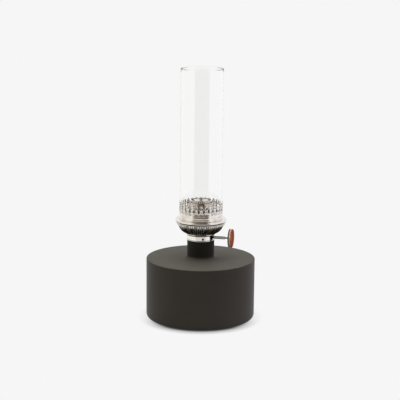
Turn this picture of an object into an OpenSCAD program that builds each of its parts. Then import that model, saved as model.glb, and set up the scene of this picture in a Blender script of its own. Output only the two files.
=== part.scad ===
// Table oil lamp: a squat round tank with a short neck, a round-wick burner with a
// pierced gallery, and a tall straight glass chimney. Units are millimetres, +Z is up,
// and the origin is the centre of the base where it stands on the table.

/* [Tank] */
// Outer diameter of the tank
tank_d = 133; // [120:1:150]
// Height of the tank's flat top above the table
tank_h = 75; // [65:1:90]
// Thickness of the tank's sheet
tank_wall = 1.2; // [0.8:0.1:1.6]
// Radius of the rounded bottom edge
bottom_edge_r = 5; // [3:0.5:6]
// Radius of the small edge round the flat top
top_edge_r = 1; // [0.6:0.1:2]
// Diameter of the pad that the tank stands on
pad_d = 118.8; // [100:0.2:118.8]
// Thickness of the pad
pad_h = 2; // [1.6:0.1:2]

/* [Neck] */
// Outer diameter of the neck
neck_d = 33.2; // [33:0.1:33.6]
// Height of the neck above the tank's top
neck_h = 22.2; // [18:0.2:26]
// Thickness of the neck's sheet
neck_wall = 1; // [0.8:0.05:1]
// Length of the screw thread inside the neck
thread_len = 9; // [6:0.5:12]
// Distance from one thread turn to the next
thread_pitch = 1.6; // [1.4:0.1:2]

/* [Burner] */
// Outer diameter of the polished collar under the basket
collar_d = 34.2; // [34:0.1:34.8]
// Height of the polished collar
collar_h = 6; // [6:0.1:6.4]
// Radius of the bowl curve that the basket follows
bowl_r = 13.2; // [13:0.1:13.4]
// Number of air slots round the basket
slot_count = 66; // [24:1:66]
// Width of each air slot
slot_w = 1.3; // [1:0.1:1.4]
// Number of beads in the row above the slots
bead_count = 66; // [24:1:70]
// Diameter of each bead
bead_d = 2; // [1.4:0.1:2.4]
// Outer diameter of the tube round the wick
wick_tube_d = 25.2; // [25:0.1:25.4]
// Height of the wick tube's rim above the collar
wick_tube_rise = 43.3; // [42:0.1:45]

/* [Gallery] */
// Outer diameter of the gallery's rolled rim
flange_d = 63; // [61:0.5:66]
// Outer diameter of the crown that holds the chimney
crown_d = 53.4; // [53.2:0.1:53.6]
// Height of the crown above its seat
crown_h = 22.3; // [20:0.1:24]
// Height of the plain band at the foot of the crown
crown_band_h = 7; // [6:0.1:8]
// Number of pierced petals round the crown
petal_count = 28; // [20:1:30]

/* [Chimney] */
// Outer diameter of the glass
glass_d = 51.6; // [51.2:0.1:51.7]
// Thickness of the glass
glass_wall = 1.6; // [1.2:0.1:2]
// Length of the glass
glass_h = 183; // [140:1:220]

/* [Wick raiser] */
// Diameter of the spindle
spindle_d = 2; // [1.6:0.1:2]
// Outer diameter of the tube round the spindle
spindle_tube_d = 3.5; // [3:0.1:3.6]
// Outer diameter of the star wheels that drive the wick
wheel_d = 7.8; // [7:0.1:7.8]
// Number of teeth on each star wheel
wheel_teeth = 12; // [8:1:16]
// Diameter of the knob
knob_d = 22.5; // [18:0.5:26]
// Thickness of the knob
knob_t = 3.4; // [2:0.1:3.6]
// Distance from the lamp's axis to the back of the knob
knob_x = 36; // [33:0.1:42]

/* [Hidden] */
$fn = 96;

eps = 0.01;
tank_r = tank_d / 2;
shell_z = 0.8;                          // underside of the tank's turned-in edge
neck_r = neck_d / 2;
neck_top = tank_h + neck_h;
neck_fillet = 0.8;
lip_w = 1.5;                            // width of the tank's turned-in bottom lip
insert_r = 14.5;                        // crest of the thread inside the neck
sleeve_r = 14.2;                        // crest of the thread on the burner
sleeve_bore_r = 12.9;
thread_depth = 0.6;
gasket_h = 0.8;
lift_gap = 0.2;                         // the burner's gap above the neck
collar_z = neck_top + lift_gap + gasket_h;
collar_r = collar_d / 2;
sheet = 0.8;                            // burner sheet
collar_top = collar_z + collar_h;
spindle_z = collar_z + 3.1;
vent_angle = -69;
vent_d = 2.8;
notch_w = 18.4;

bowl_c = [14.6, collar_top + 15];       // centre of the bowl's curve, radius and height
bowl_t = 0.6;
bowl_top = bowl_c[1];
floor_z = collar_top + 1.3;
floor_t = 0.8;
floor_r = 16.9;

tube_wall = 0.45;
tube_r = wick_tube_d / 2;
tube_top = collar_top + wick_tube_rise;
tube_z = collar_top + 9;                // where the round tube starts above the guide
wick_r = tube_r - tube_wall - 0.15;
wick_hole_r = 9.5;
draft_r = 9.3;
draft_z = tube_z + 0.5;
wick_z = collar_top + 15.8;             // lower end of the round part that moves
seam_w = 1.6;                           // gap where the wick's two edges meet

fold_y = 6.75;                          // the folded flat wick lies behind the spindle
fold_half_w = 9.6;
fold_half_t = 2.5;
guide_gap = 0.25;
guide_wall = 0.45;
guide_z = collar_z + 1;
guide_straight = floor_z + floor_t + 0.1; // top of the flat part of the guide
tail_z = 9;
wheel_x = 5;
wheel_t = 1.4;
ear_x = 8.6;
ear_t = 0.8;
spindle_fit = 0.06;                     // running clearance on the radius

seat_z = bowl_top + 5.2;                // top of the chimney's seat
seat_t = 0.7;
flange_z = bowl_top + 2.2;
rim_r = 1.4;
crown_r = crown_d / 2;
crown_t = 0.6;
skirt_r = 26.4;
skirt_t = 0.7;
skirt_h = 4;
band_angle = 13;                        // where the beaded band meets the basket
glass_gap = 0.3;
deflector_foot_r = 22.4;
deflector_r = 13.9;
deflector_top = seat_z + 20.2;

nickel = [0.80, 0.79, 0.76];
dark_nickel = [0.34, 0.32, 0.29];
brass = [0.72, 0.58, 0.32];
paint = [0.17, 0.155, 0.145];
copper = [0.72, 0.36, 0.25];
cotton = [0.93, 0.91, 0.86];
cork = [0.55, 0.42, 0.28];
rubber = [0.08, 0.08, 0.08];

// Points of an arc about [cx, cy] from angle a0 to a1
function arc(cx, cy, r, a0, a1, n = 8) =
    [for (i = [0:n]) let (a = a0 + (a1 - a0) * i / n) [cx + r * cos(a), cy + r * sin(a)]];

// One point on the bowl's curve, at an angle below its top edge
function on_bowl(r, angle) = [bowl_c[0] + r * cos(angle), bowl_c[1] - r * sin(angle)];

// A turned part from its half section: radius across, height up
module turned(points) rotate_extrude() polygon(points);

// Lays what is drawn along +Z onto the spindle's axis, starting at x
module on_spindle(x) translate([x, 0, spindle_z]) rotate([0, 90, 0]) children();

// A flat oval with round ends, as the folded wick is, grown outwards by g
module oval(g = 0) {
    half_t = fold_half_t + g;
    translate([0, fold_y]) {
        square([2 * (fold_half_w - fold_half_t), 2 * half_t], center = true);
        for (side = [-1, 1])
            translate([side * (fold_half_w - fold_half_t), 0]) circle(half_t);
    }
}

// The oval changing into a round of radius r between two heights
module oval_to_round(g, r, z0, z1) hull() {
    translate([0, 0, z0]) linear_extrude(eps) oval(g, $fn = 48);
    translate([0, 0, z1 - eps]) cylinder(r = r, h = eps, $fn = 64);
}

// ---- tank ----

module tank_shell() color(paint) turned(concat(
    [[tank_r - bottom_edge_r - lip_w, shell_z]],
    arc(tank_r - bottom_edge_r, shell_z + bottom_edge_r, bottom_edge_r, -90, 0),
    arc(tank_r - top_edge_r, tank_h - top_edge_r, top_edge_r, 0, 90, 4),
    [[neck_r + 0.05, tank_h], [neck_r + 0.05, tank_h - tank_wall]],
    [[tank_r - tank_wall, tank_h - tank_wall]],
    arc(tank_r - bottom_edge_r, shell_z + bottom_edge_r, bottom_edge_r - tank_wall, 0, -90),
    [[tank_r - bottom_edge_r - lip_w, shell_z + tank_wall]]
));

// The bottom lies on the turned-in lip, with its middle pressed up for stiffness
module tank_bottom() color(paint) {
    z = shell_z + tank_wall;
    edge = tank_r - bottom_edge_r - 0.1;
    rise = 1.4;
    turned([
        [0, z + rise], [edge - 15.4, z + rise], [edge - 12.9, z], [edge, z],
        [edge, z + tank_wall], [edge - 12.2, z + tank_wall],
        [edge - 14.7, z + rise + tank_wall], [0, z + rise + tank_wall]
    ]);
}

module base_pad() color(cork) turned(concat(
    [[0, 0]], arc(pad_d / 2 - 0.5, 0.5, 0.5, -90, 0, 3), [[pad_d / 2, pad_h], [0, pad_h]]
));

// The neck passes through the tank's top and is soldered under it by a foot
module neck_tube() color(paint) {
    foot_z = tank_h - tank_wall;
    lip_r = 0.4;
    turned(concat(
        [[neck_r - neck_wall, foot_z - 1], [neck_r + 3.2, foot_z - 1], [neck_r + 3.2, foot_z],
            [neck_r, foot_z], [neck_r, tank_h]],
        arc(neck_r + neck_fillet, tank_h + neck_fillet, neck_fillet, 270, 180, 4),
        arc(neck_r - lip_r, neck_top - lip_r, lip_r, 0, 90, 3),
        [[neck_r - neck_wall, neck_top]]
    ));
}

module thread_insert() color(brass) {
    turns = floor((thread_len - 1) / thread_pitch);
    z0 = neck_top - thread_len;
    turned(concat(
        [[neck_r - neck_wall - 0.02, neck_top - 0.1], [neck_r - neck_wall - 0.02, z0], [insert_r, z0]],
        [for (i = [0:turns - 1], p = [[0, 0], [thread_depth, 0.5], [0, 1]])
            [insert_r + p[0], z0 + 0.6 + (i + p[1] * 0.9) * thread_pitch]],
        [[insert_r, neck_top - 0.1]]
    ));
}

// ---- burner ----

module thread_sleeve() color(brass) {
    turns = floor((thread_len - 1) / thread_pitch);
    z0 = neck_top - thread_len + 0.3;
    root = sleeve_r - thread_depth;
    turned(concat(
        [[sleeve_bore_r, z0], [root, z0]],
        [for (i = [0:turns - 1], p = [[0, 0], [thread_depth, 0.5], [0, 1]])
            [root + p[0], z0 + 0.4 + (i + p[1] * 0.9) * thread_pitch]],
        [[root, collar_z], [collar_r - 0.9, collar_z], [collar_r - 0.9, collar_z + sheet],
            [sleeve_bore_r, collar_z + sheet]]
    ));
}

module neck_gasket() color(rubber)
    translate([0, 0, neck_top + lift_gap]) difference() {
        cylinder(r = neck_r - 0.15, h = gasket_h);
        translate([0, 0, -1]) cylinder(r = sleeve_r + 0.1, h = gasket_h + 2);
    }

// Polished collar with a rolled lower edge, a vent and a notch for the spindle's tube
module collar_band() color(nickel) difference() {
    bead = 0.45;
    turned(concat(
        [[collar_r - sheet, collar_z]],
        arc(collar_r - 0.15, collar_z + bead, bead, -90, 60, 6),
        [[collar_r, collar_z + 3 * bead], [collar_r, collar_top], [collar_r - sheet, collar_top]]
    ));
    rotate([0, 0, vent_angle]) on_spindle(collar_r - 2) cylinder(d = vent_d, h = 4);
    on_spindle(collar_r - 3) cylinder(d = spindle_tube_d + 0.7, h = 6);
    translate([collar_r - 4.6, -notch_w / 2, spindle_z - 0.4]) cube([8, notch_w, collar_h]);
}

// Turned ring that carries the foot of the basket
module basket_ring() color(nickel) turned(concat(
    [[collar_r - sheet, collar_top], [collar_r, collar_top], [collar_r, collar_top + 1],
        [collar_r + 0.7, collar_top + 1.5]],
    arc(collar_r + 1.55, collar_top + 2.25, 0.72, -100, 90, 6),
    [[collar_r + 0.8, floor_z + floor_t], [floor_r, floor_z + floor_t],
        [floor_r, floor_z], [collar_r - sheet, floor_z - 0.2]]
));

// A strip of the bowl's curve between two angles below the top edge, of thickness t
module bowl_strip(r, t, low, high) turned(concat(
    [for (i = [0:8]) on_bowl(r, low + (high - low) * i / 8)],
    [for (i = [8:-1:0]) on_bowl(r - t, low + (high - low) * i / 8)]
));

module air_basket() color(dark_nickel) {
    slot_low = bowl_top - (bowl_r - bowl_t) * sin(61);
    slot_high = bowl_top - bowl_r * sin(17);
    difference() {
        bowl_strip(bowl_r, bowl_t, 68, band_angle + 0.3);
        for (i = [0:slot_count - 1])
            rotate([0, 0, 360 * i / slot_count])
                translate([floor_r, -slot_w / 2, slot_low])
                    cube([bowl_r, slot_w, slot_high - slot_low]);
    }
}

// The bowl's upper edge flares out under the flange and carries a row of beads
module bead_band() color(nickel) {
    foot = on_bowl(bowl_r + 0.2, band_angle);
    bead_at = foot + [1.35, 2];
    turned([foot, bead_at + [0.25, 0], foot + [2.9, 4.1], foot + [2, 4.1],
        bead_at - [0.65, 0], on_bowl(bowl_r - bowl_t, band_angle)]);
    for (i = [0:bead_count - 1])
        rotate([0, 0, 360 * i / bead_count])
            translate([bead_at[0], 0, bead_at[1]]) sphere(d = bead_d, $fn = 32);
}

// Plate across the collar that holds the wick's guide
module burner_floor() color(brass) translate([0, 0, floor_z]) difference() {
    cylinder(r = floor_r, h = floor_t);
    translate([0, 0, -1]) linear_extrude(floor_t + 2) oval(guide_gap + guide_wall);
}

// Round outer tube with a small rolled rim
module wick_tube() color(nickel) turned(concat(
    [[tube_r - tube_wall, tube_z], [tube_r, tube_z], [tube_r, tube_top - 0.9]],
    arc(tube_r, tube_top - 0.5, 0.4, -60, 90, 5),
    [[tube_r - tube_wall, tube_top - 0.1]]
));

// Inner air tube with a funnel mouth, held by a fin that passes through the seam of the wick
module draft_tube() color(nickel) {
    top = tube_top - 0.4;
    inner = draft_r - tube_wall;
    mouth_r = 6.2;
    turned([[inner, draft_z], [draft_r, draft_z], [draft_r, top], [draft_r - 0.2, top],
        [mouth_r, top - 3], [mouth_r, top - 3.6], [inner, top - 0.85]]);
    translate([-0.4, draft_r - tube_wall / 2, draft_z])
        cube([0.8, tube_r - tube_wall - draft_r + 0.2, 4.5]);
}

// Flat below, where the wheels press on the wick, and round above, with an air window
module wick_guide() color(brass) difference() {
    union() {
        translate([0, 0, guide_z]) linear_extrude(guide_straight - guide_z)
            oval(guide_gap + guide_wall);
        oval_to_round(guide_gap + guide_wall, tube_r + 0.3, guide_straight, tube_z);
    }
    translate([0, 0, guide_z - 1]) linear_extrude(guide_straight - guide_z + 1 + eps)
        oval(guide_gap);
    oval_to_round(guide_gap, tube_r - tube_wall, guide_straight, tube_z + eps);
    translate([-4.5, fold_y, guide_straight + 1]) cube([9, 12, 4.8]);
    for (x = [-wheel_x, wheel_x])
        translate([x - wheel_t / 2 - 0.3, 0, guide_z - 1]) cube([wheel_t + 0.6, fold_y - 2.4, 5]);
}

// Two bearing plates that hold the spindle in front of the guide
module spindle_ears() color(brass) for (x = [-ear_x, ear_x])
    difference() {
        translate([x - ear_t / 2, -2.6, spindle_z - 2.3]) cube([ear_t, 6.35, 4.8]);
        on_spindle(x - ear_t) cylinder(r = spindle_d / 2 + spindle_fit, h = 2 * ear_t);
    }

module spindle_bushing() color(brass) difference() {
    on_spindle(collar_r - 3.7) cylinder(r = 2.3, h = 2.8);
    on_spindle(collar_r - 4.7) cylinder(d = spindle_tube_d + 0.02, h = 5);
}

module spindle_tube() color(nickel) difference() {
    on_spindle(collar_r - 4.1) cylinder(d = spindle_tube_d, h = 17.4);
    on_spindle(collar_r - 5.1) cylinder(r = spindle_d / 2 + spindle_fit, h = 20);
}

// Lower wick: folded flat through the guide and down to the bottom of the tank
module wick_tail() color(cotton) difference() {
    union() {
        translate([0, 0, tail_z]) linear_extrude(guide_straight - tail_z) oval();
        oval_to_round(0, wick_r, guide_straight, tube_z);
        translate([0, 0, tube_z - eps]) cylinder(r = wick_r, h = 2.3);
    }
    hull() {
        translate([-7, fold_y - 0.2, guide_straight + 0.6]) cube([14, 0.4, eps]);
        translate([0, 0, tube_z]) cylinder(r = wick_hole_r, h = 4, $fn = 64);
    }
    translate([-seam_w / 2, fold_y, guide_straight + 0.6]) cube([seam_w, 10, 12]);
}

// ---- wick raiser ----

module wick_spindle() color(brass)
    on_spindle(-ear_x - 1.2) cylinder(d = spindle_d, h = knob_x + knob_t + ear_x + 1.2);

// Star wheels with pointed teeth that grip the cotton
module wick_wheels() color(brass) for (x = [-wheel_x, wheel_x])
    on_spindle(x - wheel_t / 2) difference() {
        linear_extrude(wheel_t) polygon([for (i = [0:2 * wheel_teeth - 1])
            let (r = wheel_d / 2 - (i % 2) * 1.1, a = 180 * i / wheel_teeth)
                [r * cos(a), r * sin(a)]]);
        translate([0, 0, -1]) cylinder(d = spindle_d, h = wheel_t + 2);
    }

module knob_hub() color(nickel) on_spindle(knob_x - 2) difference() {
    union() {
        cylinder(r = 1.9, h = 2);
        translate([0, 0, 1.3]) cylinder(r = 2.8, h = 0.7);
    }
    translate([0, 0, -1]) cylinder(d = spindle_d, h = 4);
}

// Flat copper disc with rounded edges
module knob_disc() color(copper) on_spindle(knob_x) {
    r = knob_d / 2;
    edge = 0.7;
    turned(concat(
        [[spindle_d / 2, 0]],
        arc(r - edge, edge, edge, -90, 0, 4),
        arc(r - edge, knob_t - edge, edge, 0, 90, 4),
        [[spindle_d / 2, knob_t]]
    ));
}

module knob_rivet() color(copper) on_spindle(knob_x + knob_t)
    turned(concat([[0, 0]], arc(1.2, 0, 0.5, 0, 90, 4), [[0, 0.5]]));

// ---- wick ----

// Round part of the wick, which slides between the two tubes
module wick() color(cotton) difference() {
    top = tube_top - 0.3;
    edge = 0.4;
    turned(concat(
        [[wick_hole_r, wick_z], [wick_r, wick_z]],
        arc(wick_r - edge, top - edge, edge, 0, 90, 3),
        arc(wick_hole_r + edge, top - edge, edge, 90, 180, 3)
    ));
    translate([-seam_w / 2, 0, wick_z - 1]) cube([seam_w, wick_r + 2, tube_top]);
}

// ---- gallery ----

// Spun flange with a rolled rim, a skirt below and the chimney's seat above
module gallery_flange() color(nickel) {
    rim_x = flange_d / 2 - rim_r;
    inner = skirt_r - skirt_t;
    turned(concat(
        [[inner, flange_z - skirt_h], [skirt_r, flange_z - skirt_h], [skirt_r, flange_z],
            [rim_x, flange_z]],
        arc(rim_x, flange_z + rim_r, rim_r, -90, 60, 8),
        [for (t = [0.25:0.25:1]) [rim_x + 0.7 - (rim_x + 0.6 - crown_r) * t,
            flange_z + 2.62 + (seat_z - flange_z - 2.62) * pow(sin(90 * t), 2)]],
        [[deflector_foot_r, seat_z], [deflector_foot_r, seat_z - seat_t], [inner, seat_z - seat_t]]
    ));
}

// Cut-outs of one petal, drawn flat: a pointed arch below and a round eye above
module petal_holes(pitch) {
    arch_z = crown_band_h + 0.9;
    arch_w = pitch * 0.5;
    polygon([[-arch_w / 2, arch_z], [arch_w / 2, arch_z], [arch_w / 2, arch_z + 2.4],
        [0, arch_z + 4.8], [-arch_w / 2, arch_z + 2.4]]);
    translate([0, crown_h - 3.9]) circle(d = pitch * 0.34, $fn = 24);
}

// Gap between two petals, drawn flat, which leaves each petal with a pointed tip
module petal_gap(pitch) polygon([
    [0, crown_band_h + 4.6], [pitch * 0.1, crown_band_h + 6.4], [pitch * 0.1, crown_h - 2],
    [pitch * 0.34, crown_h + 1], [-pitch * 0.34, crown_h + 1], [-pitch * 0.1, crown_h - 2],
    [-pitch * 0.1, crown_band_h + 6.4]
]);

module crown() color(nickel) translate([0, 0, seat_z]) {
    pitch = 2 * PI * crown_r / petal_count;
    step = 360 / petal_count;
    difference() {
        turned([[crown_r - crown_t, 0], [crown_r, 0], [crown_r, crown_h], [crown_r - crown_t, crown_h]]);
        for (i = [0:petal_count - 1]) rotate([90, 0, 90 + i * step]) translate([0, 0, crown_r - 3]) {
            linear_extrude(6) petal_holes(pitch);
            rotate([0, step / 2, 0]) linear_extrude(6) petal_gap(pitch);
        }
    }
}

// Radius of the deflector's dome, u of the way up from its foot
function dome_r(u) = deflector_foot_r - (deflector_foot_r - deflector_r) * pow(u, 1.6);

// Domed cone that leads the air to the flame, with a row of holes at its foot
module air_deflector() color(nickel) difference() {
    t = 0.5;
    rise = deflector_top - seat_z;
    turned(concat(
        [for (i = [0:6]) [dome_r(i / 6), seat_z + rise * i / 6]],
        [for (i = [6:-1:0]) [dome_r(i / 6) - t, seat_z + rise * i / 6]],
        [[deflector_foot_r - t, seat_z - seat_t], [deflector_foot_r, seat_z - seat_t]]
    ));
    for (i = [0:15]) rotate([0, 0, 22.5 * i])
        translate([deflector_foot_r - 6, 0, seat_z + 3.2])
            rotate([0, 90, 0]) cylinder(d = 2.2, h = 8);
}

// ---- chimney ----

// Straight glass tube with fire-rounded ends
module chimney_glass() color([0.9, 0.95, 0.97, 0.3]) {
    z0 = seat_z + glass_gap;
    z1 = z0 + glass_h;
    round_r = glass_wall / 2;
    mid = glass_d / 2 - round_r;
    turned(concat(
        arc(mid, z0 + round_r, round_r, -180, 0, 6),
        arc(mid, z1 - round_r, round_r, 0, 180, 6)
    ));
}

tank_shell();
tank_bottom();
base_pad();
neck_tube();
thread_insert();
thread_sleeve();
neck_gasket();
collar_band();
basket_ring();
air_basket();
bead_band();
burner_floor();
wick_tube();
draft_tube();
wick_guide();
spindle_ears();
spindle_bushing();
spindle_tube();
wick_tail();
wick_spindle();
wick_wheels();
knob_hub();
knob_disc();
knob_rivet();
wick();
gallery_flange();
crown();
air_deflector();
chimney_glass();
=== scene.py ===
"""Visual model of a table oil lamp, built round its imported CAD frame.

Profiles and patterns are in millimetres, as in the CAD. Objects are in metres.
"""

import math

import bmesh
import bpy
import numpy as np
from mathutils import Matrix, Vector
from mathutils.geometry import delaunay_2d_cdt


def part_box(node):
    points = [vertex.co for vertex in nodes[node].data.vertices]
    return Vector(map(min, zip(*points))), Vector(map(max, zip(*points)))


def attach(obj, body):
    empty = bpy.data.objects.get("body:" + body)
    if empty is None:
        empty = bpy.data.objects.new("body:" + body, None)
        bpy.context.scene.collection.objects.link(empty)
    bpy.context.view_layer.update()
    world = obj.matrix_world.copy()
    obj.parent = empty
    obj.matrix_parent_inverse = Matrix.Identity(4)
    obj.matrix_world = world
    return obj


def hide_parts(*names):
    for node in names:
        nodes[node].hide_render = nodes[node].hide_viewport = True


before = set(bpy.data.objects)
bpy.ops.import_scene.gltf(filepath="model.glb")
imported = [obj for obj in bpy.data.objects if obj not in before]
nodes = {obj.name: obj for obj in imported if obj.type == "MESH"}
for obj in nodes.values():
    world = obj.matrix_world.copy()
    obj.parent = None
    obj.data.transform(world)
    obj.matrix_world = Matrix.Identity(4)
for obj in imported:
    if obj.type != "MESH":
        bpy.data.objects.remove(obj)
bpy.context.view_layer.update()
MM = 0.001
X_AXIS = Matrix.Rotation(math.radians(90), 4, "Y")  # turns +Z to +X


def low(node):
    """Height of a CAD node's underside, in millimetres."""
    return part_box(node)[0].z / MM


def top(node):
    """Height of a CAD node's top, in millimetres."""
    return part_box(node)[1].z / MM


def reach(node):
    """A round CAD node's outer radius, in millimetres."""
    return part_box(node)[1].y / MM


# ---- materials ----


class Nodes:
    """Short calls for the nodes of one shader tree."""

    def __init__(self, tree):
        self.tree = tree

    def add(self, kind, **settings):
        node = self.tree.nodes.new(kind)
        for key, value in settings.items():
            setattr(node, key, value)
        return node

    def feed(self, socket, value):
        """Links a socket to the given one, or sets it to a constant."""
        if isinstance(value, bpy.types.NodeSocket):
            self.tree.links.new(value, socket)
        else:
            socket.default_value = value

    def maths(self, operation, a, b=0.0):
        node = self.add("ShaderNodeMath", operation=operation)
        self.feed(node.inputs[0], a)
        self.feed(node.inputs[1], b)
        return node.outputs[0]

    def times(self, a, b):
        return self.maths("MULTIPLY", a, b)

    def plus(self, a, b):
        return self.maths("ADD", a, b)

    def away(self, value, middle):
        """How far value is from middle, either way."""
        return self.maths("ABSOLUTE", self.maths("SUBTRACT", value, middle))

    def length(self, x, y):
        return self.maths("SQRT", self.plus(self.times(x, x), self.times(y, y)))

    def split(self, vector):
        node = self.add("ShaderNodeSeparateXYZ")
        self.feed(node.inputs[0], vector)
        return node.outputs

    def span(self, value, a, b, lo=0.0, hi=1.0, smooth=False):
        """value mapped from the range a to b onto lo to hi, clamped."""
        node = self.add("ShaderNodeMapRange", interpolation_type="SMOOTHSTEP" if smooth else "LINEAR")
        for socket, v in zip(node.inputs, (value, a, b, lo, hi)):
            self.feed(socket, v)
        return node.outputs[0]

    def blend(self, share, a, b):
        """Colour a where share is 0, and b where it is 1."""
        node = self.add("ShaderNodeMix", data_type="RGBA", blend_type="MIX")
        self.feed(node.inputs[0], share)
        self.feed(node.inputs[6], a)
        self.feed(node.inputs[7], b)
        return node.outputs[2]


class Surface(Nodes):
    """A procedural material. Coordinates are the object's own, in metres."""

    def __init__(self, name, **values):
        self.material = bpy.data.materials.new(name)
        self.material.use_nodes = True
        super().__init__(self.material.node_tree)
        self.shader = self.tree.nodes["Principled BSDF"]
        self.point = self.add("ShaderNodeTexCoord").outputs["Object"]
        self.set(**values)

    def set(self, **values):
        """Constants or sockets on the shader, named with _ for spaces."""
        for key, value in values.items():
            self.feed(self.shader.inputs[key.replace("_", " ")], value)

    def around(self, axis="Z", centre=0.0):
        """(distance from the axis, angle in turns, place along it). The X axis passes at height centre."""
        x, y, z = self.split(self.point)
        if axis == "X":
            x, y, z = y, self.maths("SUBTRACT", z, centre), x
        turn = self.maths("DIVIDE", self.maths("ARCTAN2", y, x), 2 * math.pi)
        return self.length(x, y), turn, z

    def noise(self, scale, detail=2.0, vector=None, rough=0.5):
        node = self.add("ShaderNodeTexNoise")
        self.feed(node.inputs["Vector"], vector or self.point)
        for key, value in (("Scale", scale), ("Detail", detail), ("Roughness", rough)):
            node.inputs[key].default_value = value
        return node.outputs["Fac"]

    def stretched(self, *axes, detail=2.0, rough=0.5):
        """Noise over up to three pairs of (coordinate, scale)."""
        node = self.add("ShaderNodeCombineXYZ")
        for socket, (value, scale) in zip(node.inputs, axes):
            self.feed(socket, self.times(value, scale))
        return self.noise(1.0, detail, node.outputs[0], rough)

    def cells(self, scale):
        """Voronoi cells, as outputs Distance and Color."""
        node = self.add("ShaderNodeTexVoronoi")
        self.feed(node.inputs["Vector"], self.point)
        node.inputs["Scale"].default_value = scale
        return node.outputs

    def bump(self, height, depth, normal=None):
        """A normal from a height of 0 to 1 that stands for depth in metres."""
        node = self.add("ShaderNodeBump")
        node.inputs["Strength"].default_value = 1.0
        node.inputs["Distance"].default_value = depth
        self.feed(node.inputs["Height"], height)
        if normal:
            self.feed(node.inputs["Normal"], normal)
        return node.outputs[0]

    def band(self, value, a, b, lo=0.0, hi=1.0, smooth=False):
        """span() with a and b in millimetres."""
        return self.span(value, a * MM, b * MM, lo, hi, smooth)


def rgb(r, g, b):
    return (r, g, b, 1.0)


def powder_coat(name, light, dark, painted_top_light, gloss):
    """Matt paint, coloured lighter on faces that look up, as painted light from above."""
    s = Surface(name, Metallic=0.0, IOR=1.5, Specular_IOR_Level=gloss)
    s.set(Sheen_Weight=0.11, Sheen_Roughness=0.35)
    grain = s.noise(1900, detail=3)
    cloud = s.noise(26, detail=3)
    up = s.split(s.add("ShaderNodeNewGeometry").outputs["Normal"])[2]
    colour = s.blend(s.span(cloud, 0.3, 0.7), dark, light)
    s.set(
        # painted light: faces that look up get the lighter top colour
        Base_Color=s.blend(s.span(up, 0.6, 0.97), colour, painted_top_light),
        Roughness=s.span(grain, 0.3, 0.7, 0.64, 0.74),
        Normal=s.bump(grain, 0.00004),
    )
    return s.material


def plated(
    name, light, dark, shine, axis="Z", centre=0.0, tarnish=0.25,
    dark_band=(), dark_lines=(), engraved=(), frosted=None,
):
    """Turned or spun metal: fine lines round an axis, faint clouds of tarnish and a varied gloss.

    A ragged band of darker colour is given as (height where it ends, height where it starts to clear,
    colour);
    on the flange it is painted shade under the rim. Dark lines are given at heights, as (middle, half
    width);
    on the collar the upper one is painted shade. engraved is where a fine pattern of dark strokes begins and
    is full, going up. Inside the radius frosted it has a pale satin skin. All are in millimetres.
    """
    s = Surface(name, Metallic=1.0)
    r, turn, along = s.around(axis, centre)
    lines = s.stretched((r, 5200), (along, 5200), (turn, 3), detail=3)
    cloud = s.noise(120, detail=4, rough=0.6)
    colour = s.blend(s.span(cloud, 0.45, 0.75, 0, tarnish), light, dark)
    normal = s.bump(lines, 0.000004)
    height = s.split(s.point)[2]
    # a ragged band of darker colour; on the flange it is painted shade under the rim
    if dark_band:
        clear, full, band_colour = dark_band
        ragged = s.plus(height, s.span(cloud, 0.3, 0.7, -0.0008, 0.0008))
        colour = s.blend(s.band(ragged, clear, full, smooth=True), colour, band_colour)
    # dark lines at given heights; on the collar the upper one is painted shade
    for middle, half in dark_lines:
        dark_line = s.band(s.away(height, middle * MM), half, half / 2, 0, 0.93, smooth=True)
        colour = s.blend(dark_line, colour, rgb(0.05, 0.043, 0.036))
    if engraved:
        strokes = s.span(s.stretched((turn, 150), (along, 420), rough=0.6), 0.50, 0.60)
        strokes = s.times(strokes, s.band(height, *engraved))
        colour = s.blend(s.times(strokes, 0.85), colour, rgb(0.10, 0.085, 0.070))
        normal = s.bump(strokes, 0.00008, normal)
    s.set(Base_Color=colour, Roughness=s.span(cloud, 0.3, 0.75, shine, shine + 0.10), Normal=normal)
    if frosted:
        s.set(Metallic=s.band(r, frosted - 0.05, frosted + 0.05, 0.35, 1.0))
    return s.material


def ribbed_nickel(count):
    """Nickel coloured near black as painted shade, with painted highlights along the tops of some of the
    ribs.
    """
    s = Surface("dark_nickel", Metallic=1.0)
    r, turn, z = s.around()
    middle = s.away(s.maths("FRACT", s.times(turn, count)), 0.5)
    # painted highlights along the tops of some ribs
    painted_highlight = s.span(s.stretched((turn, count * 0.55), (z, 90)), 0.42, 0.50)
    painted_highlight = s.times(painted_highlight, s.span(middle, 0.32, 0.40))
    cloud = s.noise(300, detail=3)
    # painted shade: the ribs' own colour is near black
    colour = s.blend(s.span(cloud, 0.35, 0.7), rgb(0.085, 0.070, 0.055), rgb(0.035, 0.028, 0.022))
    s.set(
        Base_Color=s.blend(painted_highlight, colour, rgb(0.82, 0.78, 0.72)),
        Roughness=s.span(painted_highlight, 0, 1, 0.34, 0.16),
        Normal=s.bump(cloud, 0.000006),
    )
    return s.material


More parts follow.
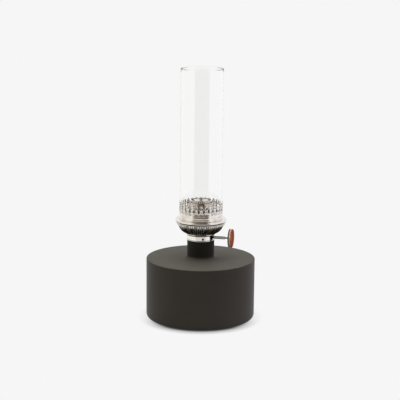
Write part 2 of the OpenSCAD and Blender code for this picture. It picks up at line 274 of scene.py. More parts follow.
def beaded_nickel(count, bead_height, lip_height):
    """Nickel with painted highlights on the beads and the lip, and painted shade in the recesses between
    them.
    """
    s = Surface("nickel_beaded")
    r, turn, z = s.around()
    place = s.times(turn, count)
    across = s.maths("SUBTRACT", s.maths("FRACT", place), 0.5)
    across = s.times(s.times(across, r), 2 * math.pi / count)
    far = s.length(across, s.times(s.maths("SUBTRACT", z, bead_height * MM), 0.60))
    # how strong each bead's painted highlight is
    highlight_share = s.span(s.stretched((s.maths("FLOOR", place), 0.73), detail=0), 0.34, 0.44, 0.45, 1)
    bead_highlight = s.times(s.band(far, 1.12, 0.88), highlight_share)
    bead_highlight = s.maths("MAXIMUM", bead_highlight, s.band(z, lip_height - 0.15, lip_height, 0, 0.8))
    cloud = s.noise(600, detail=3)
    silver = s.blend(s.span(cloud, 0.4, 0.7), rgb(0.98, 0.95, 0.91), rgb(0.88, 0.83, 0.77))
    s.set(
        # painted shade in the recesses, painted highlights on the beads and lip
        Base_Color=s.blend(bead_highlight, rgb(0.020, 0.016, 0.013), silver),
        Roughness=s.span(bead_highlight, 0, 1, 0.42, 0.22),
        Metallic=s.span(bead_highlight, 0, 1, 1.0, 0.15),
        Normal=s.bump(cloud, 0.00001),
    )
    return s.material


def aged_copper(centre):
    """Copper wheel: brushed rings, mottled patina, a painted highlight along the rim and painted shade on
    the back.
    """
    s = Surface("copper", Specular_Tint=rgb(0.42, 0.22, 0.17))
    r, turn, along = s.around("X", centre)
    rings = s.stretched((r, 3600), (along, 3600), (turn, 6))
    spots = s.noise(900, detail=3, rough=0.65)
    cloud = s.noise(230, detail=3)
    colour = s.blend(s.span(spots, 0.35, 0.7), rgb(0.37, 0.128, 0.085), rgb(0.52, 0.215, 0.152))
    colour = s.blend(s.span(cloud, 0.5, 0.75, 0, 0.6), colour, rgb(0.20, 0.062, 0.040))
    # painted highlight: the rim's edge is coloured pale and less metallic
    painted_highlight = s.band(r, KNOB_R - 0.8, KNOB_R - 0.3, 0, 0.75)
    painted_highlight = s.times(painted_highlight, s.band(along, KNOB_X1 - 0.5, KNOB_X1 - 0.9))
    colour = s.blend(painted_highlight, colour, rgb(0.80, 0.58, 0.46))
    # painted shade: the back of the wheel is coloured near black
    back = s.band(along, KNOB_X0 + 0.9, KNOB_X0 + 0.5, 0, 0.95)
    colour = s.blend(back, colour, rgb(0.020, 0.012, 0.006))
    s.set(
        Base_Color=colour,
        Metallic=s.span(painted_highlight, 0, 0.75, 1.0, 0.5),
        Roughness=s.span(spots, 0.3, 0.7, 0.30, 0.46),
        Normal=s.bump(spots, 0.00003, s.bump(rings, 0.00001)),
    )
    return s.material


def cotton():
    """Woven wick: ribs along it, picks across it, loose fibres, and a ragged near-black band along its top
    edge.
    """
    s = Surface("cotton", Metallic=0.0, Sheen_Weight=0.35, Sheen_Roughness=0.5, Specular_IOR_Level=0.2)
    r, turn, z = s.around()
    ribs, picks = (s.maths("SINE", s.times(v, 2 * math.pi * count)) for v, count in ((turn, 72), (z, 1150)))
    weave = s.times(ribs, picks)
    fibre = s.noise(3200, detail=2)
    ragged = s.plus(z, s.times(s.noise(700, detail=3), 0.0022))
    # near black towards the wick's top edge
    darkened_top = s.band(ragged, WICK_TOP - 3.5, WICK_TOP - 0.2, smooth=True)
    thread = s.blend(s.span(weave, -1, 1), rgb(0.56, 0.52, 0.44), rgb(0.86, 0.84, 0.77))
    thread = s.blend(s.span(fibre, 0.35, 0.7, 0, 0.5), thread, rgb(0.72, 0.67, 0.56))
    s.set(
        Base_Color=s.blend(darkened_top, thread, rgb(0.012, 0.010, 0.009)),
        Roughness=s.span(fibre, 0.3, 0.7, 0.85, 1.0),
        Normal=s.bump(fibre, 0.00012, s.bump(s.span(weave, -1, 1), 0.00025)),
    )
    return s.material


def cork():
    s = Surface("cork", Metallic=0.0, Specular_IOR_Level=0.25)
    cells = s.cells(620)
    grain, tint = cells["Distance"], s.split(cells["Color"])[0]
    colour = s.blend(tint, rgb(0.46, 0.30, 0.17), rgb(0.30, 0.17, 0.085))
    colour = s.blend(s.span(s.noise(1500), 0.6, 0.72, 0, 0.8), colour, rgb(0.11, 0.06, 0.03))
    s.set(Base_Color=colour, Roughness=s.span(grain, 0, 0.8, 0.75, 0.95), Normal=s.bump(grain, 0.00015))
    return s.material


def rubber():
    s = Surface("gasket", Metallic=0.0, Specular_IOR_Level=0.3)
    grain = s.noise(2400, detail=3)
    bloom = s.span(s.noise(180), 0.3, 0.7)
    s.set(
        Base_Color=s.blend(bloom, rgb(0.013, 0.013, 0.013), rgb(0.026, 0.025, 0.024)),
        Roughness=s.span(grain, 0.3, 0.7, 0.6, 0.8),
        Normal=s.bump(grain, 0.00003),
    )
    return s.material


def clear_glass():
    """Clear glass with faint drawing lines and a rim that hardly shows. Scattered light passes through."""
    s = Surface("clear_glass", Metallic=0.0, IOR=1.40, Transmission_Weight=1.0)
    r, turn, z = s.around()
    waves = s.stretched((turn, 14), (z, 9), detail=1)
    s.set(
        Base_Color=s.blend(s.span(waves, 0.3, 0.7), rgb(0.997, 0.999, 0.998), rgb(1.0, 1.0, 1.0)),
        Roughness=0.0,
        Normal=s.bump(waves, 0.000002),
    )
    path = s.add("ShaderNodeLightPath").outputs
    through = s.maths("MAXIMUM", path["Is Shadow Ray"], path["Is Diffuse Ray"])
    through = s.maths("MAXIMUM", through, s.band(z, GLASS_TOP - 1.8, GLASS_TOP - 1.0, 0, 0.85))
    clear = s.add("ShaderNodeBsdfTransparent")
    clear.inputs["Color"].default_value = rgb(0.99, 0.995, 0.99)
    mix = s.add("ShaderNodeMixShader")
    s.feed(mix.inputs[0], through)
    s.tree.links.new(s.shader.outputs[0], mix.inputs[1])
    s.tree.links.new(clear.outputs[0], mix.inputs[2])
    s.tree.links.new(mix.outputs[0], s.tree.nodes["Material Output"].inputs["Surface"])
    return s.material


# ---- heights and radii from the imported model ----

TANK_R, TANK_Z, TANK_TOP = reach("tank_shell"), low("tank_shell"), top("tank_shell")
NECK_R = reach("neck_gasket") + 0.15
COLLAR_Z, COLLAR_TOP = low("collar_band"), top("collar_band")
BOWL_C = (14.6, COLLAR_TOP + 15)  # centre of the bowl's curve: radius and height
BOWL_R = 13.2
SEAT_Z, CROWN_TOP, CROWN_R = low("crown"), top("crown"), reach("crown")
SKIRT_Z, FLANGE_R = low("gallery_flange"), reach("gallery_flange")
FLANGE_Z = SKIRT_Z + 4
TUBE_TOP = top("wick_tube")
WICK_Z, WICK_TOP, WICK_R = low("wick"), top("wick"), -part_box("wick")[0].y / MM
GLASS_Z, GLASS_TOP, GLASS_R = low("chimney_glass"), top("chimney_glass"), reach("chimney_glass")
SPINDLE_Z = (low("knob_disc") + top("knob_disc")) / 2
KNOB_X0, KNOB_X1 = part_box("knob_disc")[0].x / MM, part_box("knob_disc")[1].x / MM
KNOB_R = reach("knob_disc")
SLOTS = 66  # the bowl's slots, and the beads above them

# ---- finishes ----

POLISHED = rgb(0.90, 0.865, 0.825), rgb(0.66, 0.60, 0.53)
WORN = rgb(0.82, 0.785, 0.745)
YELLOW = rgb(0.74, 0.54, 0.27), rgb(0.42, 0.29, 0.13)
NECK_BLACK = rgb(0.0125, 0.0098, 0.0072)
TANK_GREY = rgb(0.0235, 0.0192, 0.0145), rgb(0.0210, 0.0170, 0.0128)

# painted light: the third colour lightens the tank's upward faces, as if lit from above
PAINT = powder_coat("tank_paint", *TANK_GREY, rgb(0.0495, 0.0450, 0.0345), 0.25)
NECK_PAINT = powder_coat("neck_paint", NECK_BLACK, rgb(0.0105, 0.0082, 0.006), NECK_BLACK, 0.2)
NICKEL = plated("nickel", *POLISHED, 0.07)
DARK_NICKEL = ribbed_nickel(SLOTS)
FLANGE_NICKEL = plated(
    "nickel_flange", WORN, rgb(0.56, 0.50, 0.44), 0.09, tarnish=0.5,
    # painted shade: the skirt under the rolled rim is darkened
    dark_band=(FLANGE_Z + 0.55, FLANGE_Z - 0.1, rgb(0.035, 0.029, 0.024)),
)
FILIGREE = plated(
    "nickel_filigree", WORN, rgb(0.50, 0.44, 0.38), 0.12, tarnish=0.7,
    engraved=(SEAT_Z + 7.2, SEAT_Z + 8.6), frosted=CROWN_R - 0.4,
)
COLLAR_NICKEL = plated(
    # painted shade: the upper dark line stands for the shadow gap under the basket's skirt; the lower is a
    # dark line near the band's foot
    "nickel_collar", *POLISHED, 0.09, dark_lines=((COLLAR_TOP + 0.75, 0.85), (COLLAR_Z + 1.15, 0.3))
)
SATIN_NICKEL = plated("nickel_satin", rgb(0.88, 0.85, 0.81), rgb(0.62, 0.56, 0.49), 0.26)
LOW_DARK_NICKEL = plated(
    "nickel_dark_low", rgb(0.86, 0.82, 0.77), rgb(0.60, 0.54, 0.47), 0.10,
    # darker towards the bottom of the wick tube
    dark_band=(TUBE_TOP - 7, TUBE_TOP - 14, rgb(0.06, 0.05, 0.04)),
)
DIM_NICKEL = plated(
    "nickel_dim", rgb(0.50, 0.45, 0.39), rgb(0.34, 0.29, 0.24), 0.14, tarnish=0.9,
    # dim nickel, darker towards the bottom
    dark_band=(TUBE_TOP - 6, TUBE_TOP - 11, rgb(0.12, 0.098, 0.078)),
)
NICKEL_X = plated("nickel_x", rgb(0.92, 0.90, 0.87), rgb(0.72, 0.68, 0.62), 0.32, "X", SPINDLE_Z * MM)
BRASS = plated("brass", *YELLOW, 0.20, tarnish=0.6)
SLEEVE_BRASS = plated(
    # darker higher up, where the sleeve goes into the collar
    "brass_sleeve", *YELLOW, 0.20, tarnish=0.6, dark_band=(COLLAR_Z - 0.2, COLLAR_Z + 0.6, rgb(0.05, 0.04, 0.03))
)
STEEL = plated(
    "spindle_steel", rgb(0.42, 0.41, 0.39), rgb(0.22, 0.20, 0.18), 0.28, "X", SPINDLE_Z * MM, tarnish=0.6
)
# painted shade: brass parts inside the burner are coloured near black
INNER = plated("burner_inside", rgb(0.050, 0.042, 0.034), rgb(0.025, 0.020, 0.016), 0.40, tarnish=0.9)
MATERIALS = {
    "tank_paint": PAINT,
    "nickel": NICKEL,
    "dark_nickel": DARK_NICKEL,
    "brass": BRASS,
    "spindle_steel": STEEL,
    "copper": aged_copper(SPINDLE_Z * MM),
    "cotton": cotton(),
    "cork": cork(),
    "gasket": rubber(),
    "clear_glass": clear_glass(),
}


# ---- mesh helpers ----


def arc(cx, cy, r, a0, a1, n=8):
    """Points of an arc about (cx, cy), from angle a0 to a1 in degrees."""
    angles = np.radians(np.linspace(a0, a1, n + 1))
    return [(cx + r * math.cos(a), cy + r * math.sin(a)) for a in angles]


def smooth_line(points, n=6):
    """A Catmull-Rom curve through the points, with n steps from each to the next."""
    p = [points[0], *points, points[-1]]
    line = []
    for i in range(1, len(p) - 2):
        a, b, c, d = (np.array(q, float) for q in p[i - 1 : i + 3])
        for k in range(n):
            t = k / n
            cubic = (2 * a - 5 * b + 4 * c - d) * t**2 + (3 * b - a - 3 * c + d) * t**3
            line.append(tuple(0.5 * (2 * b + (c - a) * t + cubic)))
    return [*line, tuple(points[-1])]


def add_piece(name, body, slot, bm, replaced=(), material=None, crease=32):
    """Makes a piece of the lamp from a bmesh in metres, smooth except across creases."""
    bmesh.ops.remove_doubles(bm, verts=bm.verts, dist=2e-7)
    bmesh.ops.dissolve_degenerate(bm, edges=bm.edges, dist=1e-7)
    bmesh.ops.recalc_face_normals(bm, faces=bm.faces)
    mesh = bpy.data.meshes.new(name)
    bm.to_mesh(mesh)
    bm.free()
    for polygon in mesh.polygons:
        polygon.use_smooth = True
    mesh.set_sharp_from_angle(angle=math.radians(crease))
    piece = bpy.data.objects.new(name, mesh)
    bpy.context.scene.collection.objects.link(piece)
    mesh.materials.append(material or MATERIALS[slot])
    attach(piece, body)
    if replaced:
        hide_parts(*replaced)


def from_faces(bm, points, faces):
    """Adds points, in metres, and the faces that join them."""
    made = [bm.verts.new(p) for p in points]
    for f in faces:
        bm.faces.new([made[i] for i in f])


def lathe(profile, steps):
    """A solid of revolution about Z from a closed half section of (radius, height) in millimetres."""
    n = len(profile)
    points, faces = [], []
    for i in range(steps):
        a = 2 * math.pi * i / steps
        points += [Vector((r * math.cos(a), r * math.sin(a), z)) * MM for r, z in profile]
        for j in range(n):
            here, there = i * n, ((i + 1) % steps) * n
            faces.append((here + j, here + (j + 1) % n, there + (j + 1) % n, there + j))
    bm = bmesh.new()
    from_faces(bm, points, faces)
    return bm


def inside(x, y, loop):
    """True if the point is inside the closed loop."""
    found = False
    for (ax, ay), (bx, by) in zip(loop, loop[1:] + loop[:1]):
        if (ay > y) != (by > y) and x < (bx - ax) * (y - ay) / (by - ay) + ax:
            found = not found
    return found


def pierced(pitch, outline, holes, rows, count, place, thickness, relief=None, soften=0.1, lip=0.22):
    """One cell of a pierced strip, repeated round the lamp and thickened.

    outline is closed and runs round the cell, with its straight sides at -pitch/2 and pitch/2 joined to
    the next cells. Free edges are softened: the outer face falls there by soften. place(turn, height, out)
    gives a point in metres, and relief(across, height) an embossed height in millimetres.
    """

    def at_side(x):
        return abs(abs(x) - pitch / 2) < 1e-5

    loops = [outline, *holes]
    points, edges, free = [], [], set()
    for loop in loops:
        start = len(points)
        points += [tuple(p) for p in loop]
        for i in range(len(loop)):
            a, b = start + i, start + (i + 1) % len(loop)
            edges.append((a, b))
            if not (at_side(points[a][0]) and at_side(points[b][0])):
                free |= {a, b}
    rim = [points[i] for i in sorted(free)]
    rim_count = len(points)
    extra = []
    for loop in loops:  # a second line of points just inside each free edge
        n = len(loop)
        for i in range(n):
            (ax, ay), (bx, by), (cx, cy) = loop[i - 1], loop[i], loop[(i + 1) % n]
            tangent = Vector((cx - ax, cy - ay))
            if tangent.length < 1e-9 or at_side(bx):
                continue
            across = Vector((-tangent.y, tangent.x)).normalized() * lip
            for side in (1, -1):
                extra.append((bx + across.x * side, by + across.y * side))
    columns = np.linspace(-pitch / 2, pitch / 2, 7)
    extra += [(x, y) for y in rows for x in columns]
    kept = []
    for x, y in extra:
        if not (inside(x, y, outline) or (at_side(x) and inside(x * 0.999, y, outline))):
            continue
        if any(inside(x, y, hole) for hole in holes):
            continue
        if min((x - a) ** 2 + (y - b) ** 2 for a, b in rim) < (lip * 0.8) ** 2:
            continue
        if any((x - a) ** 2 + (y - b) ** 2 < (lip * 0.5) ** 2 for a, b in kept):
            continue
        kept.append((x, y))
    points += kept
    cell = delaunay_2d_cdt([Vector(p) for p in points], edges, [], 2, 1e-5)
    flat, triangles, origin = cell[0], cell[2], cell[3]
    at_rim = [any(o < rim_count and o in free for o in source) for source in origin]
    shared = {}
    for t in triangles:
        for a, b in zip(t, t[1:] + t[:1]):
            shared.setdefault(frozenset((a, b)), []).append((a, b))
    walls = [
        e[0] for key, e in shared.items()
        if len(e) == 1 and not all(at_side(flat[k].x) for k in key)
    ]
    bm = bmesh.new()
    n = len(flat)
    for k in range(count):
        verts = []
        for side in (0, 1):
            for i, p in enumerate(flat):
                raised = relief(p.x, p.y) if relief else 0.0
                out = raised - (soften if at_rim[i] else 0.0) if side == 0 else raised - thickness
                verts.append(place((p.x / pitch + k) / count, p.y, out))
        faces = [tuple(t) for t in triangles] + [tuple(i + n for i in reversed(t)) for t in triangles]
        faces += [(b, a, a + n, b + n) for a, b in walls]
        from_faces(bm, verts, faces)
    return bm


def mirrored(right):
    """A closed outline from its right side, listed from the bottom to the top."""
    left = [(-x, y) for x, y in reversed(right) if abs(x) > 1e-6]
    return [*right, *left]


def ellipse(cx, cy, rx, ry, n):
    angles = [2 * math.pi * i / n for i in range(n)]
    return [(cx + rx * math.cos(a), cy + ry * math.sin(a)) for a in angles]


# ---- CAD nodes that stay ----

FINISH = {
    "tank_bottom": "tank_paint", "neck_tube": "tank_paint", "base_pad": "cork", "neck_gasket": "gasket",
    "thread_insert": "brass", "thread_sleeve": "brass", "burner_floor": "brass", "wick_guide": "brass",
    "spindle_ears": "brass", "spindle_bushing": "brass", "wick_wheels": "brass", "draft_tube": "nickel",
    "air_deflector": "nickel", "wick_spindle": "spindle_steel", "collar_band": "nickel",
    "basket_ring": "nickel", "wick_tube": "nickel", "spindle_tube": "nickel", "knob_hub": "nickel",
    "knob_rivet": "copper", "wick_tail": "cotton",
}
SPECIAL = {
    "spindle_tube": NICKEL_X, "knob_hub": NICKEL_X, "collar_band": COLLAR_NICKEL,
    "basket_ring": COLLAR_NICKEL, "draft_tube": SATIN_NICKEL, "wick_tube": LOW_DARK_NICKEL,
    "air_deflector": DIM_NICKEL,
    "burner_floor": INNER, "wick_guide": INNER, "spindle_ears": INNER, "spindle_bushing": INNER,
    "neck_tube": NECK_PAINT, "thread_sleeve": SLEEVE_BRASS,
}
for node, slot in FINISH.items():
    mesh = nodes[node].data
    mesh.materials.clear()
    mesh.materials.append(SPECIAL.get(node, MATERIALS[slot]))
    for polygon in mesh.polygons:
        polygon.use_smooth = True
    mesh.set_sharp_from_angle(angle=math.radians(30))

# ---- tank ----

EDGE_R, TOP_R, WALL, LIP = 5, 1, 1.2, 1.5
ROOT_W, ROOT_H = 7, 3.6  # the top's upward curve round the foot of the neck
ROOT_R = NECK_R + 0.05
SIDE_RINGS, TOP_RINGS = np.linspace(15, 65, 5), np.linspace(58, 28, 4)
tank = (
    [(TANK_R - EDGE_R - LIP, TANK_Z)]
    + arc(TANK_R - EDGE_R, TANK_Z + EDGE_R, EDGE_R, -90, 0, 14)
    + [(TANK_R, z) for z in SIDE_RINGS]
    + arc(TANK_R - TOP_R, TANK_TOP - TOP_R, TOP_R, 0, 90, 7)
    + [(r, TANK_TOP) for r in TOP_RINGS]
    + [
        (ROOT_R + ROOT_W * (1 - math.cos(a)), TANK_TOP + ROOT_H * (1 - math.sin(a)))
        for a in np.linspace(math.pi / 2, 0, 11)
    ]
    + [(ROOT_R, TANK_TOP - WALL), (TANK_R - WALL, TANK_TOP - WALL)]
    + arc(TANK_R - EDGE_R, TANK_Z + EDGE_R, EDGE_R - WALL, 0, -90, 10)
    + [(TANK_R - EDGE_R - LIP, TANK_Z + WALL)]
)
add_piece("tank_body", "tank", "tank_paint", lathe(tank, 256), ["tank_shell"])

# ---- basket with upright slots, and the beaded band above it ----

BASKET_LOW, BASKET_HIGH = 68, 13.3  # degrees below the top of the bowl's curve
BASKET_LEN = math.radians(BASKET_LOW - BASKET_HIGH) * BOWL_R


def on_bowl(turn, height, out):
    """height runs up the bowl's curve from the basket's foot. out is across it."""
    a = 2 * math.pi * turn
    f = math.radians(BASKET_LOW) - height / BOWL_R
    r = BOWL_C[0] + (BOWL_R + out) * math.cos(f)
    return Vector((r * math.cos(a), r * math.sin(a), BOWL_C[1] - (BOWL_R + out) * math.sin(f))) * MM


def basket():
    """Ribs that are round outside, with a long slot between each two, pointed at its top."""
    pitch = 2.6
    outline = mirrored([(0, 0), (pitch / 2, 0), (pitch / 2, BASKET_LEN), (0, BASKET_LEN)])
    half = 0.82
    point = [(half, 9.4), (half * 0.8, 10.3), (0, 11.5), (-half * 0.8, 10.3), (-half, 9.4)]
    slot = arc(0, 1.6 + half, half, 180, 360, 6) + point
    rows = np.arange(0.5, BASKET_LEN, 0.7)

    def relief(x, y):
        return 0.3 * math.cos(math.pi * min(1.0, (pitch / 2 - abs(x)) / 0.6) / 2) * min(1.0, y / 2) - 0.3

    return pierced(pitch, outline, [slot], rows, SLOTS, on_bowl, 0.55, relief, soften=0.1, lip=0.2)


add_piece("basket_pierced", "burner", "dark_nickel", basket(), ["air_basket"], crease=50)

BAND_ANGLE = math.radians(13)  # where the flare starts on the bowl's curve
BAND_FOOT = (BOWL_C[0] + 13.4 * math.cos(BAND_ANGLE), BOWL_C[1] - 13.4 * math.sin(BAND_ANGLE))
BAND_RISE, BAND_OUT = 4.1, 2.9
BAND_LEN = math.hypot(BAND_RISE, BAND_OUT)
BEAD_Y, BEAD_R, LIP_Y = 2.55, 1.1, 4.6  # up the flare: the beads' centres and radius, and the raised lip


def on_band(turn, height, out):
    """height runs up the flare from its foot. out is across it."""
    a = 2 * math.pi * turn
    up, across = BAND_RISE / BAND_LEN, BAND_OUT / BAND_LEN
    r = BAND_FOOT[0] + height * across + out * up
    return Vector((r * math.cos(a), r * math.sin(a), BAND_FOOT[1] + height * up - out * across)) * MM


def bead_band():
    """Flared rim with a row of beads and a small hole under and between each two."""
    pitch = 2.75
    outline = mirrored([(0, 0), (pitch / 2, 0), (pitch / 2, BAND_LEN), (0, BAND_LEN)])
    hole = ellipse(0, 1.35, 0.72, 0.95, 14)
    gap = ellipse(0, 3.55, 0.30, 0.42, 10)
    rows = np.arange(0.2, BAND_LEN, 0.33)

    def relief(x, y):
        from_bead = math.hypot(pitch / 2 - abs(x), y - BEAD_Y)
        bead = math.sqrt(max(0.0, BEAD_R**2 - from_bead**2)) * 0.75
        lip = 0.25 * math.exp(-(((y - LIP_Y) / 0.35) ** 2))
        return bead + lip - 0.1

    return pierced(pitch, outline, [hole, gap], rows, SLOTS, on_band, 0.5, relief, soften=0.1, lip=0.2)


BEADED = beaded_nickel(SLOTS, on_band(0, BEAD_Y, 0).z / MM, on_band(0, LIP_Y - 0.15, 0).z / MM)
add_piece("bead_rim", "burner", "nickel", bead_band(), ["bead_band"], BEADED, crease=50)

# ---- gallery flange ----


def flange():
    """Spun ledge: a skirt below, a rolled rim, and a curved rise to the crown's seat."""
    rim, skirt, sheet, seat_in = 1.4, 26.4, 0.7, 22.4
    rim_x, foot = FLANGE_R - rim, FLANGE_Z + 2.62
    outer = [(skirt, SKIRT_Z), (skirt, FLANGE_Z), (rim_x, FLANGE_Z)]
    outer += arc(rim_x, FLANGE_Z + rim, rim, -90, 60, 14)
    ogee = []
    for t in np.linspace(0.12, 1, 14):
        rise = (SEAT_Z - foot) * math.sin(math.radians(90 * t)) ** 2
        ogee.append((rim_x + 0.7 - (rim_x + 0.6 - CROWN_R) * t, foot + rise))
    under = [(seat_in, SEAT_Z), (seat_in, SEAT_Z - sheet)]
    under += [(skirt - sheet, SEAT_Z - sheet), (skirt - sheet, SKIRT_Z)]
    return lathe(outer + ogee + under, 192)


add_piece("flange_spun", "gallery", "nickel", flange(), ["gallery_flange"], FLANGE_NICKEL)

# ---- crown ----

PETALS = 28
CROWN_H = CROWN_TOP - SEAT_Z


def on_crown(turn, height, out):
    """height runs up the crown from its seat. out is across it."""
    a = 2 * math.pi * turn
    r = CROWN_R + out
    return Vector((r * math.cos(a), r * math.sin(a), SEAT_Z + height)) * MM


def crown_relief(x, y):
    """One raised line round the plain band."""
    return 0.20 * math.exp(-(((y - 4.6) / 0.32) ** 2)) - 0.2


def crown():
    """Plain band below, and petals above it, each with an arch and an eye."""
    pitch = 2 * math.pi * CROWN_R / PETALS
    side = pitch / 2
    notch = [(side - 0.5 * math.sin(a), 9.4 - 0.5 * math.cos(a)) for a in np.linspace(0, math.pi, 7)]
    edge = smooth_line(
        [
            (side, 10.9), (side - 0.8, 11.8), (side - 1.15, 13.2), (side - 0.7, 14.8), (side - 0.4, 16.2),
            (side - 0.75, 18.0), (side - 1.3, 19.8), (0.7, 20.6), (0, CROWN_H - 0.8),
        ],
        4,
    )
    outline = mirrored([(0, 0), (side, 0), *notch, *edge])
    arch = smooth_line([(1.75, 7.9), (1.95, 9.2), (1.25, 11.2), (1.05, 12.8), (0, 14.8)], 4)
    arch = mirrored([(0, 7.9), *arch])
    eye = smooth_line([(0, 15.7), (0.95, 16.4), (1.3, 17.4), (0.7, 19.2), (0, 20.4)], 4)
    eye = mirrored(eye)
    rows = [0.9, 1.8, 2.7, 3.4, 3.9, 4.2, 4.4, 4.6, 4.8, 5.0, 5.3, 6.0]
    rows += [6.9, 7.6, 8.6, 9.6, 11.0, 12.5, 14.0, 15.4, 17.0, 18.6, 20.6]
    return pierced(pitch, outline, [arch, eye], rows, PETALS, on_crown, 0.55, crown_relief, soften=0.1)


add_piece("crown_pierced", "gallery", "nickel", crown(), ["crown"], FILIGREE)

# ---- knob ----


def knob():
    """Copper wheel with a knurled edge, a boss, and a rim that stands proud on both sides."""
    edge, lip, back, width = 0.7, 0.3, 0.8, KNOB_X1 - KNOB_X0
    bore, boss, teeth, tooth = 1.02, 4.0, 60, 0.30
    profile = [(bore, 0.0), (boss, 0.0), (boss + 0.4, 0.2), (KNOB_R - 3, 0.2), (KNOB_R - 2.5, -back)]
    profile += arc(KNOB_R - edge, edge - back, edge, -90, 0, 5)
    profile += arc(KNOB_R - edge, width + lip - edge, edge, 0, 90, 5)
    profile += [(KNOB_R - 2.2, width + lip), (KNOB_R - 2.6, width - 0.25), (KNOB_R - 3.1, width - 0.3)]
    profile += [(boss + 1, width - 0.3), (boss + 0.4, width - 0.05), (boss, width), (bore, width)]
    bm = lathe(profile, teeth * 6)
    for v in bm.verts:
        r = math.hypot(v.co.x, v.co.y)
        depth = max(0.0, r / MM - (KNOB_R - 0.75)) / 0.75
        wave = 0.5 - 0.5 * math.cos(teeth * math.atan2(v.co.y, v.co.x))
        k = 1 - tooth * MM * depth * wave / r
        v.co.x, v.co.y = v.co.x * k, v.co.y * k
    place = Matrix.Translation((KNOB_X0 * MM, 0, SPINDLE_Z * MM))
    bmesh.ops.transform(bm, matrix=place @ X_AXIS, verts=bm.verts)
    return bm


add_piece("knob_wheel", "knob", "copper", knob(), ["knob_disc"])

# ---- wick ----


def wick():
    """Round wick with upright ribs, a seam at the back and a slightly ragged lit edge."""
    hole_r, edge = -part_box("draft_tube")[0].x / MM + 0.2, 0.5
    ribs, per_rib, seam, pick_pitch = 70, 6, 0.8, 0.9
    profile = [(hole_r, z) for z in np.linspace(WICK_TOP - edge, WICK_Z, 40)]
    profile += [(WICK_R, z) for z in np.linspace(WICK_Z, WICK_TOP - edge, 40)]
    profile += arc(WICK_R - edge, WICK_TOP - edge, edge, 0, 90, 4)
    profile += arc(hole_r + edge, WICK_TOP - edge, edge, 90, 180, 4)[:-1]
    steps = ribs * per_rib
    gap = math.asin(seam / WICK_R)
    points, faces = [], []
    n = len(profile)
    for i in range(steps + 1):
        a = math.pi / 2 + gap + (2 * math.pi - 2 * gap) * i / steps
        wave = 0.5 - 0.5 * math.cos(2 * math.pi * i / per_rib)
        fray = 0.18 * math.sin(7 * a) * math.sin(3 * a + 1) + 0.10 * wave
        for r, z in profile:
            pick = math.sin(2 * math.pi * z / pick_pitch + math.pi * (i // per_rib))
            raised = 0.10 * wave + 0.03 * pick - 0.06
            out = raised if r > (hole_r + WICK_R) / 2 else -raised
            lift = fray - 0.25 if z > WICK_TOP - 2 * edge else 0.0
            points.append(Vector(((r + out) * math.cos(a), (r + out) * math.sin(a), z + lift)) * MM)
        if i:
            for j in range(n):
                last, here = (i - 1) * n, i * n
                faces.append((last + j, last + (j + 1) % n, here + (j + 1) % n, here + j))
    faces += [tuple(range(n)), tuple(steps * n + j for j in reversed(range(n)))]
    bm = bmesh.new()
    from_faces(bm, points, faces)
    return bm


add_piece("wick_round", "wick", "cotton", wick(), ["wick"], crease=60)

# ---- chimney ----


def chimney():
    """Straight tube with rounded ends."""
    wall = 1.6
    mid, half = GLASS_R - wall / 2, wall / 2
    profile = arc(mid, GLASS_Z + half, half, -180, 0, 14)
    profile += [(GLASS_R, z) for z in np.linspace(GLASS_Z + 6, GLASS_TOP - 6, 8)]
    profile += arc(mid, GLASS_TOP - half, half, 0, 180, 14)
    profile += [(GLASS_R - wall, z) for z in np.linspace(GLASS_TOP - 6, GLASS_Z + 6, 8)]
    return lathe(profile, 256)


add_piece("chimney_tube", "chimney", "clear_glass", chimney(), ["chimney_glass"])

# ---- studio ----

PAPER = 0.9216  # the plain backdrop's brightness
FRONT = math.radians(12)  # azimuth of the main camera
GAP = math.radians(42)  # half the opening between the two softboxes, each side of the camera
GAP_LEFT, GAP_RIGHT = rgb(0.27, 0.235, 0.195), rgb(0.135, 0.108, 0.086)
BOX_LEFT, BOX_RIGHT = rgb(0.94, 0.935, 0.885), rgb(0.98, 0.965, 1.0)
OVERHEAD = rgb(4.4, 4.33, 4.23)
# Fades on the sky's unit sphere, each from none to full: by height, and for STRIP_SIDE by distance sideways.
GAP_TOP, OVERHEAD_Z = (0.985, 0.94), (0.72, 0.85)
STRIP_SIDE, STRIP_Z = (0.30, 0.24), (0.45, 0.55)
FLOOR_GAP = (0.41, 0.60)  # metres from the lamp, where the gap fades in over the floor


def light_studio():
    """A plain bright room. Only the lamp's surfaces see the dimmer opening between the two softboxes."""
    world = bpy.data.worlds.new("studio")
    bpy.context.scene.world = world
    world.use_nodes = True
    world.cycles.sampling_method = "NONE"
    s = Nodes(world.node_tree)
    back = s.tree.nodes["Background"]
    direction = s.add("ShaderNodeTexCoord").outputs["Generated"]
    s.feed(back.inputs["Color"], studio_colour(s, direction, sky=True))
    back.inputs["Strength"].default_value = 1.0


def toward_camera(s, x, y):
    """How far a place lies from the lamp's axis towards the main camera."""
    return s.plus(s.times(x, math.sin(FRONT)), s.times(y, -math.cos(FRONT)))


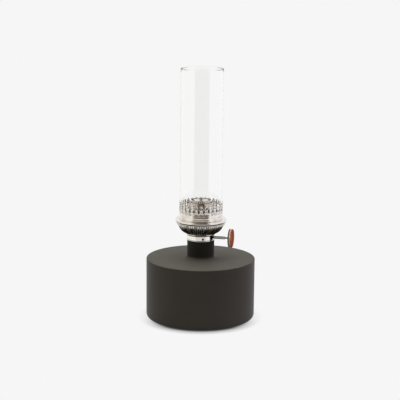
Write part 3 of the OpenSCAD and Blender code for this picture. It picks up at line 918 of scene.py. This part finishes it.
def studio_colour(s, direction, sky):
    """Plain paper for the camera's own view, and the studio's softboxes for what the lamp mirrors.

    direction is a unit vector for the sky, and a position in metres for the floor.
    """
    x, y, z = s.split(direction)
    flat = s.length(x, y)
    some = s.maths("MAXIMUM", flat, 1e-4)
    facing = s.maths("DIVIDE", toward_camera(s, x, y), some)
    across = s.plus(s.times(x, math.cos(FRONT)), s.times(y, math.sin(FRONT)))
    side = s.maths("DIVIDE", across, some)
    in_gap = s.span(facing, math.cos(GAP + 0.03), math.cos(GAP - 0.03))
    if sky:  # the opening ends high up, where a dim strip crosses the lamp from front to back
        in_gap = s.times(in_gap, s.span(z, *GAP_TOP))
        strip = s.times(s.span(s.maths("ABSOLUTE", across), *STRIP_SIDE), s.span(z, *STRIP_Z))
        in_gap = s.maths("MAXIMUM", in_gap, strip)
    else:  # and it fades in over the floor in front of the lamp
        in_gap = s.times(in_gap, s.span(flat, *FLOOR_GAP))
    edge = math.sin(GAP)
    gap = s.blend(s.span(side, -edge, edge), GAP_LEFT, GAP_RIGHT)
    seen = s.blend(in_gap, s.blend(s.span(side, -1, 1), BOX_LEFT, BOX_RIGHT), gap)
    path = s.add("ShaderNodeLightPath").outputs
    if sky:  # a strong soft light from above, which no polished surface mirrors
        scattered = s.maths("GREATER_THAN", path["Diffuse Depth"], 0.5)
        seen = s.blend(s.times(s.span(z, *OVERHEAD_Z), scattered), seen, OVERHEAD)
    bounced = s.maths("GREATER_THAN", s.plus(path["Glossy Depth"], path["Diffuse Depth"]), 0.5)
    return s.blend(bounced, rgb(PAPER, PAPER, PAPER), seen)


def floor():
    """Plain pale table top, darker only where the lamp shades it close by."""
    s = Surface("paper")
    s.tree.nodes.remove(s.shader)
    shade = s.add("ShaderNodeAmbientOcclusion", samples=24)
    shade.inputs["Distance"].default_value = 0.013
    position = s.add("ShaderNodeNewGeometry").outputs["Position"]
    colour = studio_colour(s, position, sky=False)
    glow = s.add("ShaderNodeEmission")
    x, y, z = s.split(position)
    shaded = s.maths("SUBTRACT", 1.0, shade.outputs["AO"])
    dark = s.times(shaded, s.span(toward_camera(s, x, y), 0.01, 0.05, 0.25, 1.0))
    s.feed(glow.inputs["Color"], s.blend(dark, colour, rgb(0.02, 0.019, 0.018)))
    s.tree.links.new(glow.outputs[0], s.tree.nodes["Material Output"].inputs["Surface"])
    s.material.cycles.emission_sampling = "NONE"
    bm = bmesh.new()
    far = 14.0
    from_faces(bm, [(-far, -far, 0), (far, -far, 0), (far, far, 0), (-far, far, 0)], [(0, 1, 2, 3)])
    mesh = bpy.data.meshes.new("table_top")
    bm.to_mesh(mesh)
    bm.free()
    mesh.materials.append(s.material)
    table = bpy.data.objects.new("table_top", mesh)
    bpy.context.scene.collection.objects.link(table)


def camera():
    """The main camera, a little off the lamp's front, looking down and leaning very slightly."""
    distance, height = 1.5, 0.451
    pitch, roll, yaw = math.radians(11.46), 0.0091, 0.000915
    level = Vector((-math.sin(FRONT), math.cos(FRONT), 0))
    level.rotate(Matrix.Rotation(yaw, 3, "Z"))
    ahead = level * math.cos(pitch) - Vector((0, 0, math.sin(pitch)))
    right = ahead.cross(Vector((0, 0, 1))).normalized()
    up = right.cross(ahead)
    lean = Matrix.Rotation(-roll, 3, ahead)
    right, up = lean @ right, lean @ up
    data = bpy.data.cameras.new("camera")
    data.lens, data.sensor_width = 113.13, 36
    data.clip_end = 60
    eye = bpy.data.objects.new("camera", data)
    bpy.context.scene.collection.objects.link(eye)
    place = Matrix((right, up, -ahead)).transposed().to_4x4()
    place.translation = (distance * math.sin(FRONT), -distance * math.cos(FRONT), height)
    eye.matrix_world = place
    bpy.context.scene.camera = eye


light_studio()
floor()
camera()
view = bpy.context.scene.view_settings
view.view_transform, view.look = "Standard", "None"

bpy.context.view_layer.update()
